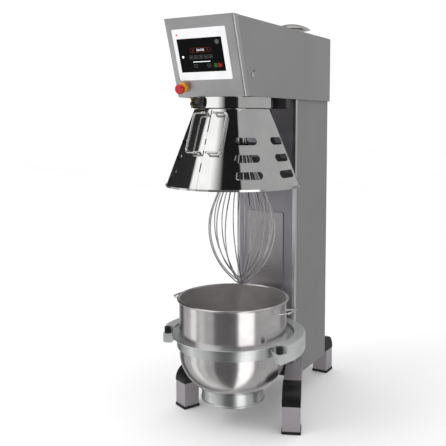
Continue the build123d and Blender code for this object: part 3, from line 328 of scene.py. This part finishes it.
def moulded(name, dark, light, roughness, grain_mm, relief_strength, **sockets):
    """Moulded plastic or rubber with the fine grain of its mould."""
    material, tree, shader = new_material(name, roughness, 0.0, **sockets)
    at = place(tree)
    grain = add(tree, "ShaderNodeTexNoise", {"Vector": at, "Scale": 1000.0 / grain_mm, "Detail": 2.0})
    rub = add(tree, "ShaderNodeTexNoise", {"Vector": at, "Scale": 25.0, "Detail": 3.0})
    tint = add(tree, "ShaderNodeValToRGB", {"Fac": rub.outputs["Fac"]}, tones(0.35, dark, 0.75, light))
    gloss = add(tree, "ShaderNodeMapRange", {
        "Value": rub.outputs["Fac"], "To Min": roughness - 0.05, "To Max": roughness + 0.07,
    })
    relief = add(tree, "ShaderNodeBump", {
        "Height": grain.outputs["Fac"], "Distance": 0.0002, "Strength": relief_strength,
    })
    give(shader, {
        "Base Color": tint.outputs["Color"], "Roughness": gloss.outputs["Result"],
        "Normal": relief.outputs["Normal"],
    })
    return material


def lit_glyph(name, tone, edge_tone, strength):
    """Printed symbol lit from behind the display's cover glass."""
    material, tree, shader = new_material(name, 0.3)
    flicker = add(tree, "ShaderNodeTexNoise", {"Vector": place(tree), "Scale": 2500.0, "Detail": 1.0})
    glow = add(tree, "ShaderNodeValToRGB", {"Fac": flicker.outputs["Fac"]},
               tones(0.2, edge_tone, 0.6, tone))
    give(shader, {
        "Base Color": glow.outputs["Color"], "Emission Color": glow.outputs["Color"],
        "Emission Strength": strength,
    })
    return material


# The stretch of a ground finish is in cycles per metre along X, Y and Z.
casing_paint = powder_coat("powder_coat_grey", "#7B7B7B", "#818181", 0.42)
column_paint = powder_coat("powder_coat_column", "#757675", "#7B7C7B", 0.42)
leg_paint = powder_coat("metallic_leg_paint", "#8D888C", "#9A959A", 0.36)
fascia_steel = brushed_sheet("brushed_stainless_fascia", "#BCBCBD", "#D8D8D9", (25, 900, 900), 0.34)
# The panel and the apron look duller than bare metal, so they are a little less than full metal.
panel_steel = brushed_sheet("brushed_stainless_panel", "#9A979F", "#B8B4BA", (900, 900, 20), 0.42,
                            metallic=0.8)
apron_steel = brushed_sheet("brushed_stainless_apron", "#A9A5A9", "#CCC8CB", (900, 900, 12), 0.3,
                            metallic=0.9)
trim_steel = brushed_sheet("bright_trim_stainless", "#E2E2E2", "#F4F4F4", (300, 300, 8), 0.28, 0.2)
machined_steel = brushed_sheet("turned_machine_steel", "#6C6C6E", "#8E8E90", (400, 400, 400), 0.3, 0.0)
brass = brushed_sheet("turned_brass_latch", "#8E7338", "#B7964F", (400, 400, 400), 0.28, 0.0)
bronze = brushed_sheet("sintered_bronze", "#7A5A30", "#9C7A48", (300, 300, 300), 0.45, 0.0)
bowl_steel = spun_steel("spun_stainless_bowl", "#CFCBCB", "#E4E1E1", 0.2, 0.6)
flange_steel = spun_steel("turned_stainless_flange", "#CDCFCF", "#E0E2E2", 0.32, 0.5)
# The guard's third tone is the painted shade of its inner side.
guard_steel = guard_sheet("mirror_stainless_guard", "#D2D2D2", "#3A393B", 0.05)
collar_steel = polished_steel("mirror_stainless_collar", "#D2D2D2", 0.06)
bar_steel = polished_steel("polished_bar_stainless", "#DCDCDC", 0.12)
wire_steel = polished_steel("drawn_stainless_wire", "#A5A3A4", 0.14)
vent_steel = polished_steel("polished_vent_stainless", "#B7AEAB", 0.18)
yoke_paint = cast_paint("silver_painted_casting", "#B9BBBB", "#C8CACA", 0.38, 2.0, 0.35)
iron_paint = cast_paint("dark_painted_iron", "#1D1D1D", "#333332", 0.45, 1.5)
black_rubber = moulded("black_rubber", "#070707", "#141414", 0.7, 0.8, 0.4)
belt_rubber = moulded("ribbed_belt_rubber", "#101010", "#1C1C1C", 0.6, 0.8, 0.4)
black_plastic = moulded("black_abs_satin", "#0C0B0E", "#17161A", 0.38, 0.6, 0.3)
grey_plastic = moulded("dark_grey_ribbed_cover", "#2B282A", "#3B383A", 0.42, 0.6, 0.3)
white_plastic = moulded("white_moulded_frame", "#E6E6E8", "#EEEEEF", 0.32, 0.5, 0.1)
cover_glass = moulded("black_cover_glass", "#010101", "#030303", 0.16, 0.5, 0.02,
                      Specular_IOR_Level=0.12)
yellow_plastic = moulded("yellow_moulded_collar", "#E39A08", "#F2AE0E", 0.3, 0.5, 0.1,
                         Coat_Weight=0.3)
red_plastic = moulded("red_moulded_mushroom", "#A00A1A", "#BE0F20", 0.26, 0.5, 0.1,
                      Coat_Weight=0.4)
glow_white = lit_glyph("lit_white_symbol", "#E8EDEE", "#C9D0D2", 1.0)
glow_grey = lit_glyph("lit_grey_symbol", "#4A4A4A", "#3C3C3E", 0.4)
glow_dark_red = lit_glyph("lit_dark_red_symbol", "#6E0D14", "#5A0A10", 0.5)
glow_red = lit_glyph("lit_red_lamp", "#D8281E", "#B81F17", 0.5)
glow_green = lit_glyph("lit_green_lamp", "#2E8B42", "#237436", 0.7)


# ------------------------------------------------------------------ meshes
def link(mesh_object, material, body):
    """Puts a finished piece in the scene with its material and body."""
    bpy.context.scene.collection.objects.link(mesh_object)
    mesh_object.data.materials.clear()
    mesh_object.data.materials.append(material)
    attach(mesh_object, body)


# Edges sharper than this are drawn as edges.
sharp_angle = math.radians(35)


def from_bmesh(name, bm):
    """A mesh object from a bmesh, smooth except over sharp edges."""
    mesh = bpy.data.meshes.new(name)
    for face in bm.faces:
        face.smooth = True
    for edge in bm.edges:
        if len(edge.link_faces) == 2 and edge.calc_face_angle(0) > sharp_angle:
            edge.smooth = False
    bm.to_mesh(mesh)
    bm.free()
    return bpy.data.objects.new(name, mesh)


# Corners closer than this are one, faces this level are one, and edges this sharp are softened.
weld_reach = 0.002 * MM
flat_angle = math.radians(0.6)
soften_angle = math.radians(50)


def refined(node, material, bevel_mm=0.0):
    """The CAD node's shape as one welded, smooth mesh with softened edges."""
    bm = bmesh.new()
    bm.from_mesh(frame["nodes"][node].data)
    bmesh.ops.remove_doubles(bm, verts=bm.verts, dist=weld_reach)
    if bevel_mm:
        bmesh.ops.dissolve_limit(bm, angle_limit=flat_angle, verts=bm.verts, edges=bm.edges)
    piece = from_bmesh(node + "_finished", bm)
    link(piece, material, frame["nodes"][node]["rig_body"])
    if bevel_mm:
        soften = piece.modifiers.new("soft_edges", "BEVEL")
        soften.width = bevel_mm * MM
        soften.segments = 2
        soften.limit_method = "ANGLE"
        soften.angle_limit = soften_angle
        soften.harden_normals = True
    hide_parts(node)


finish_of = {
    "front_legs": leg_paint, "rear_legs": leg_paint, "leg_bumpers": black_plastic,
    "rubber_feet": black_rubber, "base_plate": iron_paint, "column_sides": column_paint,
    "corner_trims": trim_steel, "front_panel": panel_steel, "ribbed_cover": grey_plastic,
    "rear_cover": casing_paint, "cable_gland": black_plastic, "head_casing": casing_paint,
    "fascia": fascia_steel, "head_plate": iron_paint, "vent_neck": bar_steel,
    "vent_cap": vent_steel, "control_bezel": white_plastic, "display_glass": cover_glass,
    "estop_collar": yellow_plastic, "estop_button": red_plastic, "side_lock": bar_steel,
    "main_bearings": machined_steel, "main_shaft": machined_steel, "main_pulley": machined_steel,
    "drive_belt": belt_rubber, "motor_bracket": iron_paint, "motor_housing": iron_paint,
    "motor_shaft": machined_steel, "motor_pulley": machined_steel, "inverter_box": black_plastic,
    "gear_housing": iron_paint, "ring_gear": machined_steel, "planet_carrier": iron_paint,
    "planet_bearings": machined_steel, "planet_shaft": machined_steel,
    "planet_pinion": machined_steel, "bayonet_pin": machined_steel, "whisk_hub": wire_steel,
    "whisk_wires": wire_steel, "guard_door_right": guard_steel, "guard_door_left": guard_steel,
    "guard_handle_right": bar_steel, "guard_handle_left": bar_steel,
    "guard_rear_shell": guard_steel, "guard_collar": collar_steel, "guard_switch": grey_plastic,
    "bowl_shell": bowl_steel, "bowl_flange": flange_steel, "bowl_base_ring": flange_steel,
    "bowl_handles": bar_steel, "bowl_yoke": yoke_paint, "lock_knob_right": black_plastic,
    "lock_knob_left": black_plastic, "lift_carriage": iron_paint, "guide_bushes": bronze,
    "guide_rods": machined_steel, "guide_bracket": iron_paint, "apron_plate": apron_steel,
    "actuator_body": machined_steel, "actuator_rod": machined_steel,
}

# Width of the softened edge in millimetres, on the pieces that show one.
bevel_of = {
    "head_casing": 1.2, "fascia": 1.2, "column_sides": 1.0, "front_panel": 0.6, "apron_plate": 0.8,
    "control_bezel": 0.8, "front_legs": 2.5, "rear_legs": 2.5, "leg_bumpers": 1.0,
    "rubber_feet": 1.5, "rear_cover": 0.8, "ribbed_cover": 0.8, "bowl_yoke": 2.0,
    "guard_switch": 1.0, "corner_trims": 0.5,
}
for node, material in finish_of.items():
    refined(node, material, bevel_of.get(node, 0.0))


# ------------------------------------------------------------------ pieces that repeat
def row_tree():
    """Copies of its input along a straight line."""
    tree = bpy.data.node_groups.new("row", "GeometryNodeTree")
    tree.interface.new_socket("Geometry", in_out="INPUT", socket_type="NodeSocketGeometry")
    tree.interface.new_socket("Count", in_out="INPUT", socket_type="NodeSocketInt")
    tree.interface.new_socket("Step", in_out="INPUT", socket_type="NodeSocketVector")
    tree.interface.new_socket("Material", in_out="INPUT", socket_type="NodeSocketMaterial")
    tree.interface.new_socket("Geometry", in_out="OUTPUT", socket_type="NodeSocketGeometry")
    given = add(tree, "NodeGroupInput").outputs
    line = add(tree, "GeometryNodeMeshLine", {"Count": given["Count"], "Offset": given["Step"]})
    placed = add(tree, "GeometryNodeInstanceOnPoints", {
        "Points": line.outputs["Mesh"], "Instance": given["Geometry"],
    })
    whole = add(tree, "GeometryNodeRealizeInstances", {"Geometry": placed.outputs["Instances"]})
    coated = add(tree, "GeometryNodeSetMaterial", {
        "Geometry": whole.outputs["Geometry"], "Material": given["Material"],
    })
    add(tree, "NodeGroupOutput", {"Geometry": coated.outputs["Geometry"]})
    return tree


row = row_tree()


def in_a_row(name, bm, material, body, count, step):
    """One piece that holds count copies of the bmesh, a step apart."""
    one = from_bmesh(name + "_one", bm)
    bpy.context.scene.collection.objects.link(one)
    copies = one.modifiers.new("row", "NODES")
    copies.node_group = row
    values = {"Count": count, "Step": step, "Material": material}
    for socket in row.interface.items_tree:
        if socket.in_out == "INPUT" and socket.name in values:
            copies[socket.identifier] = values[socket.name]
    ready = one.evaluated_get(bpy.context.evaluated_depsgraph_get())
    mesh = bpy.data.meshes.new_from_object(ready)
    bpy.data.objects.remove(one)
    link(bpy.data.objects.new(name, mesh), material, body)


# ------------------------------------------------------------------ small shapes
def rounded(x, up, half_width, half_height, corner):
    """Outline of a rounded rectangle on the face, in millimetres."""
    steps = 8
    points = []
    for side, rise, start in ((1, 1, 0), (-1, 1, 90), (-1, -1, 180), (1, -1, 270)):
        for index in range(steps + 1):
            angle = math.radians(start + 90 * index / steps)
            points.append((x + side * (half_width - corner) + corner * math.cos(angle),
                           up + rise * (half_height - corner) + corner * math.sin(angle)))
    return points


def raised(bm, outline, low, high):
    """A plate with this outline, between two heights over the face."""
    walls = [[bm.verts.new(on_face(x, up, out)) for x, up in outline] for out in (low, high)]
    bm.faces.new(walls[1])
    bm.faces.new(walls[0][::-1])
    for index in range(len(outline)):
        after = (index + 1) % len(outline)
        bm.faces.new((walls[0][index], walls[0][after], walls[1][after], walls[1][index]))


# Keeps the inner corners' points apart, in millimetres.
smallest_corner = 0.05


def frame_line(bm, x, up, half_width, half_height, corner, line, low, high):
    """A closed line of even width round a rounded rectangle, all in millimetres."""
    outer = rounded(x, up, half_width, half_height, corner)
    inner = rounded(x, up, half_width - line, half_height - line, max(corner - line, smallest_corner))
    loops = [[bm.verts.new(on_face(across, rise, out)) for across, rise in outline]
             for outline, out in ((outer, low), (outer, high), (inner, high), (inner, low))]
    for first, second in zip(loops, loops[1:] + loops[:1]):
        for index in range(len(first)):
            after = (index + 1) % len(first)
            bm.faces.new((first[index], first[after], second[after], second[index]))


def rounded_box(bm, size, matrix, edge):
    """A box of this size in millimetres with edges rounded to a radius of edge."""
    scale = Matrix.Diagonal((size[0] * MM, size[1] * MM, size[2] * MM, 1))
    made = bmesh.ops.create_cube(bm, size=1.0, matrix=matrix @ scale)
    edges = list(dict.fromkeys(found for vert in made["verts"] for found in vert.link_edges))
    bmesh.ops.bevel(bm, geom=edges, offset=edge * MM, segments=3, profile=0.5, affect="EDGES")


def turned_pin(bm, radius, length, matrix, edge):
    """A round pin in millimetres with softened rims, along the matrix's Z."""
    made = bmesh.ops.create_cone(
        bm, cap_ends=True, segments=40, radius1=radius * MM, radius2=radius * MM,
        depth=length * MM, matrix=matrix)
    edges = dict.fromkeys(found for vert in made["verts"] for found in vert.link_edges)
    rims = [found for found in edges if any(len(face.verts) > 4 for face in found.link_faces)]
    bmesh.ops.bevel(bm, geom=rims, offset=edge * MM, segments=3, profile=0.5, affect="EDGES")


def closed(bm):
    """Merges doubled corners and turns the faces outwards."""
    bmesh.ops.remove_doubles(bm, verts=bm.verts, dist=0.001 * MM)
    bmesh.ops.recalc_face_normals(bm, faces=bm.faces)
    return bm


# ------------------------------------------------------------------ display and lamps
# Heights over the face, in millimetres: the glass and the frame round it, and the symbols on the glass.
glass_top = 5.0
symbol_low = glass_top + 0.05
symbol_high = glass_top + 0.25
lamp_low = glass_top + 0.02
lamp_high = glass_top + 0.9

# Heights along the face, in millimetres.
timer_up = 188
tool_up = 161
key_up = 126
start_stop_up = 125.5


def symbol_line(bm, x, up, half_width, half_height, corner, line):
    """A line round a rounded rectangle, at the symbols' height."""
    frame_line(bm, x, up, half_width, half_height, corner, line, symbol_low, symbol_high)


def symbol_patch(bm, outline):
    """A filled shape at the symbols' height."""
    raised(bm, outline, symbol_low, symbol_high)


def symbol(name, bm, material):
    """Finishes a symbol on the fixed body."""
    link(from_bmesh("symbol_" + name, closed(bm)), material, "frame")


def display_symbols():
    """Generic symbols on the cover glass: a timer, a row of tools, a speed bar and keys."""
    timer = bmesh.new()
    symbol_line(timer, -10, timer_up, 48, 9, 9, 1.0)
    symbol_patch(timer, rounded(-44, timer_up, 3, 3, 3))
    symbol_patch(timer, [(22, timer_up - 4), (28, timer_up), (22, timer_up + 4)])
    symbol("timer_frame", timer, glow_dark_red)
    white = bmesh.new()
    for x in (-24, -16, -4, 4):
        symbol_line(white, x, timer_up, 2.6, 3.6, 0.6, 0.8)
    for up in (timer_up - 2, timer_up + 2):
        symbol_patch(white, rounded(-10, up, 0.8, 0.8, 0.8))
    symbol_patch(white, rounded(-11.5, 142, 39.5, 1.1, 1.1))
    symbol_patch(white, rounded(-95, 163, 4.5, 4.5, 4.5))
    symbol("digits_and_bar", white, glow_white)
    menu = bmesh.new()
    symbol_patch(menu, rounded(71, 216, 9, 9, 9))
    for x in (-41, 20):
        symbol_line(menu, x, key_up, 8, 6.5, 1.5, 1.2)
        symbol_patch(menu, rounded(x, key_up, 3, 0.7, 0.7))
    symbol("menu_keys", menu, glow_grey)
    tool = bmesh.new()
    symbol_line(tool, -56, tool_up, 8.5, 7, 2, 1.2)
    symbol_patch(tool, rounded(-56, tool_up, 3.2, 2.6, 2.4))
    tool_pitch = 22.2 * MM
    in_a_row("symbol_tool_row", closed(tool), glow_grey, "frame", 5, (tool_pitch, 0, 0))
    for name, x, corner, material in (("start", 50, 2.6, glow_green), ("stop", 70, 0.6, glow_red)):
        key = bmesh.new()
        symbol_line(key, x, start_stop_up, 8, 7, 2, 0.8)
        symbol_patch(key, rounded(x, start_stop_up, 2.6, 2.6, corner))
        symbol(name, key, material)


def status_lamp():
    """Small red lamp in the corner of the white frame."""
    bm = bmesh.new()
    radius = 3.6
    raised(bm, rounded(-108, 250, radius, radius, radius), lamp_low, lamp_high)
    link(from_bmesh("status_lamp", closed(bm)), glow_red, "frame")


display_symbols()
status_lamp()


# ------------------------------------------------------------------ catch, screws
# Where the catch sits round the collar, from +Y towards +X, and its parts' distances in millimetres.
catch_bearing = math.radians(202)
catch_wall = 171
latch_across = 20
latch_reach = 190


def beside_collar(across, outward, height):
    """A place by the collar: across and outward from the catch's bearing, and height over the ground."""
    spoke = Vector((math.sin(catch_bearing), math.cos(catch_bearing), 0))
    side = Vector((spoke.y, -spoke.x, 0))
    centre = Vector((bowl_axis.x, bowl_axis.y, 0))
    rise = Vector((0, 0, height * MM))
    spot = centre + spoke * (outward * MM) + side * (across * MM) + rise
    return Matrix.Translation(spot) @ Matrix.Rotation(-catch_bearing, 4, "Z")


def guard_catch():
    """Catch that holds the two guard doors shut, on the collar under the head."""
    body = bmesh.new()
    rounded_box(body, (62, 9, 34), beside_collar(0, catch_wall, 1380), 1.5)
    rounded_box(body, (26, 20, 22), beside_collar(-12, catch_wall + 12, 1384), 2.5)
    rounded_box(body, (12, 26, 12), beside_collar(latch_across, catch_wall + 13, 1374), 2.0)
    link(from_bmesh("guard_catch_body", closed(body)), iron_paint, "frame")
    latch = bmesh.new()
    turned_pin(latch, 5, 38, beside_collar(latch_across, latch_reach, 1376), 0.8)
    turned_pin(latch, 7.5, 5, beside_collar(latch_across, latch_reach, 1394), 1.0)
    lying = Matrix.Rotation(math.pi / 2, 4, "X")
    for across, outward in ((-27, 176.5), (-12, 194), (4, 176.5)):
        turned_pin(latch, 3.6, 3, beside_collar(across, outward, 1386) @ lying, 0.6)
    link(from_bmesh("guard_catch_latch", closed(latch)), brass, "frame")


def side_screw():
    """Dark screw above the service lock."""
    lock = middle("side_lock")
    centre = Vector((head_side + 0.8 * MM, lock.y, lock.z + 17 * MM))
    bm = bmesh.new()
    turned_pin(bm, 3.4, 2.0, Matrix.Translation(centre) @ Matrix.Rotation(math.pi / 2, 4, "Y"), 0.6)
    link(from_bmesh("side_screw", closed(bm)), black_plastic, "frame")


def rear_screws():
    """Two upright rows of pan-head screws that hold the rear cover."""
    count = 6
    end_gap = 30 * MM
    side_gap = 9 * MM
    cover_back = cover_high.y + 0.9 * MM
    pitch = (cover_high.z - cover_low.z - 2 * end_gap) / (count - 1)
    turn = Matrix.Rotation(math.pi / 2, 4, "X")
    for name, x in (("right", cover_high.x - side_gap), ("left", cover_low.x + side_gap)):
        bm = bmesh.new()
        lowest = Matrix.Translation((x, cover_back, cover_low.z + end_gap))
        turned_pin(bm, 4.2, 2.2, lowest @ turn, 0.8)
        in_a_row("rear_screws_" + name, closed(bm), machined_steel, "frame",
                 count, (0, 0, pitch))


guard_catch()
side_screw()
rear_screws()


# ------------------------------------------------------------------ stage, light and camera
def backdrop():
    """Plain pale floor, left out of the reflections."""
    bm = bmesh.new()
    bmesh.ops.create_grid(bm, x_segments=1, y_segments=1, size=30.0)
    floor = from_bmesh("floor", bm)
    bpy.context.scene.collection.objects.link(floor)
    material, tree, shader = new_material("pale_floor", 0.8, Specular_IOR_Level=0.0)
    cloud = add(tree, "ShaderNodeTexNoise", {"Vector": place(tree), "Scale": 0.5, "Detail": 1.0})
    tint = add(tree, "ShaderNodeValToRGB", {"Fac": cloud.outputs["Fac"]},
               tones(0.2, "#FBFBFB", 0.8, "#FEFEFE"))
    give(shader, {"Base Color": tint.outputs["Color"]})
    floor.data.materials.append(material)
    floor.visible_glossy = False


def bearings(*levels):
    """Ramp stops from (bearing, brightness), the bearing in degrees from +Y towards +X."""
    return [(bearing / 360, (level, level, level, 1)) for bearing, level in levels]


def cards(*levels):
    """Soft boxes and dark cards side by side: (bearing where it ends, brightness), with narrow edges."""
    edge = 1.0
    stops = [(0, levels[0][1])]
    for (end, level), (_, following) in zip(levels, levels[1:]):
        stops += [(end - edge, level), (end + edge, following)]
    return stops + [(360, levels[-1][1])]


def studio_world():
    """White studio with dark cards between its soft boxes, which steel needs to show its shape."""
    world = bpy.data.worlds.new("studio")
    world.use_nodes = True
    bpy.context.scene.world = world
    tree = world.node_tree
    tree.nodes.clear()
    look = add(tree, "ShaderNodeTexCoord")
    split = add(tree, "ShaderNodeSeparateXYZ", {"Vector": look.outputs["Generated"]})
    turn = add(tree, "ShaderNodeMath", {0: split.outputs["X"], 1: split.outputs["Y"]},
               operation="ARCTAN2")
    around = add(tree, "ShaderNodeMath", {0: turn.outputs["Value"], 1: 2 * math.pi}, operation="ADD")
    share = add(tree, "ShaderNodeMath", {0: around.outputs["Value"], 1: 0.5 / math.pi},
                operation="MULTIPLY")
    bearing = add(tree, "ShaderNodeMath", {0: share.outputs["Value"]}, operation="FRACT")
    below = add(tree, "ShaderNodeValToRGB", {"Fac": bearing.outputs["Value"]}, bearings(*cards(
        (30, 0.25), (94, 0.46), (104, 0.35), (138, 1.5), (190, 0.13), (212, 0.45), (226, 0.7),
        (232, 0.4), (250, 1.0), (278, 0.5), (300, 0.1), (360, 0.5),
    )))
    above = add(tree, "ShaderNodeValToRGB", {"Fac": bearing.outputs["Value"]}, bearings(
        (0, 0.46), (132, 0.46), (134, 0.012), (170, 0.012), (194, 1.25), (231, 1.25), (235, 0.035),
        (322, 0.02), (326, 0.4), (360, 0.46),
    ))
    # Z is the height of the look's direction, so the lower cards give way to the upper ones at the level.
    climb = add(tree, "ShaderNodeMapRange", {
        "Value": split.outputs["Z"], "From Min": -0.03, "From Max": 0.01,
    })
    walls = add(tree, "ShaderNodeMix", {
        "Factor": climb.outputs["Result"], "A": below.outputs["Color"], "B": above.outputs["Color"],
    }, data_type="RGBA")
    ceiling = add(tree, "ShaderNodeMapRange", {
        "Value": split.outputs["Z"], "From Min": 0.72, "From Max": 0.9,
    })
    room = add(tree, "ShaderNodeMix", {
        "Factor": ceiling.outputs["Result"], "A": walls.outputs["Result"], "B": (1.3, 1.3, 1.3, 1.0),
    }, data_type="RGBA")
    path = add(tree, "ShaderNodeLightPath")
    plain = add(tree, "ShaderNodeBackground", {"Color": colour("#FFFFFF"), "Strength": 1.02})
    mirrored = add(tree, "ShaderNodeBackground", {"Color": room.outputs["Result"], "Strength": 1.0})
    chosen = add(tree, "ShaderNodeMixShader", {
        "Fac": path.outputs["Is Glossy Ray"], 1: plain.outputs["Background"],
        2: mirrored.outputs["Background"],
    })
    add(tree, "ShaderNodeOutputWorld", {"Surface": chosen.outputs["Shader"]})


def camera():
    """Eye height of someone standing, in front and to the right of the machine."""
    data = bpy.data.cameras.new("camera")
    data.sensor_width = 36.0
    data.lens = 54.48
    data.shift_x = -0.05
    data.shift_y = -0.08
    data.dof.use_dof = False
    eye = bpy.data.objects.new("camera", data)
    bpy.context.scene.collection.objects.link(eye)
    eye.location = (1.4554, bowl_axis.y - 2.4466, 1.3024)
    looking_down = 0.097
    turned_left = 0.518
    eye.rotation_euler = (math.pi / 2 - looking_down, 0, turned_left)
    bpy.context.scene.camera = eye


def soft_box(name, spot, aim, size, power):
    """A square lamp that lights the machine but isn't seen or mirrored."""
    data = bpy.data.lights.new(name, "AREA")
    data.size = size
    data.energy = power
    made = bpy.data.objects.new(name, data)
    bpy.context.scene.collection.objects.link(made)
    made.location = spot
    made.rotation_euler = (Vector(aim) - Vector(spot)).to_track_quat("-Z", "Y").to_euler()
    made.visible_glossy = False
    made.visible_camera = False


backdrop()
studio_world()
camera()
soft_box("key", (-2.2, -3.0, 3.2), (0, 0, 1.0), 1.8, 40)
bpy.context.scene.view_settings.view_transform = "Standard"
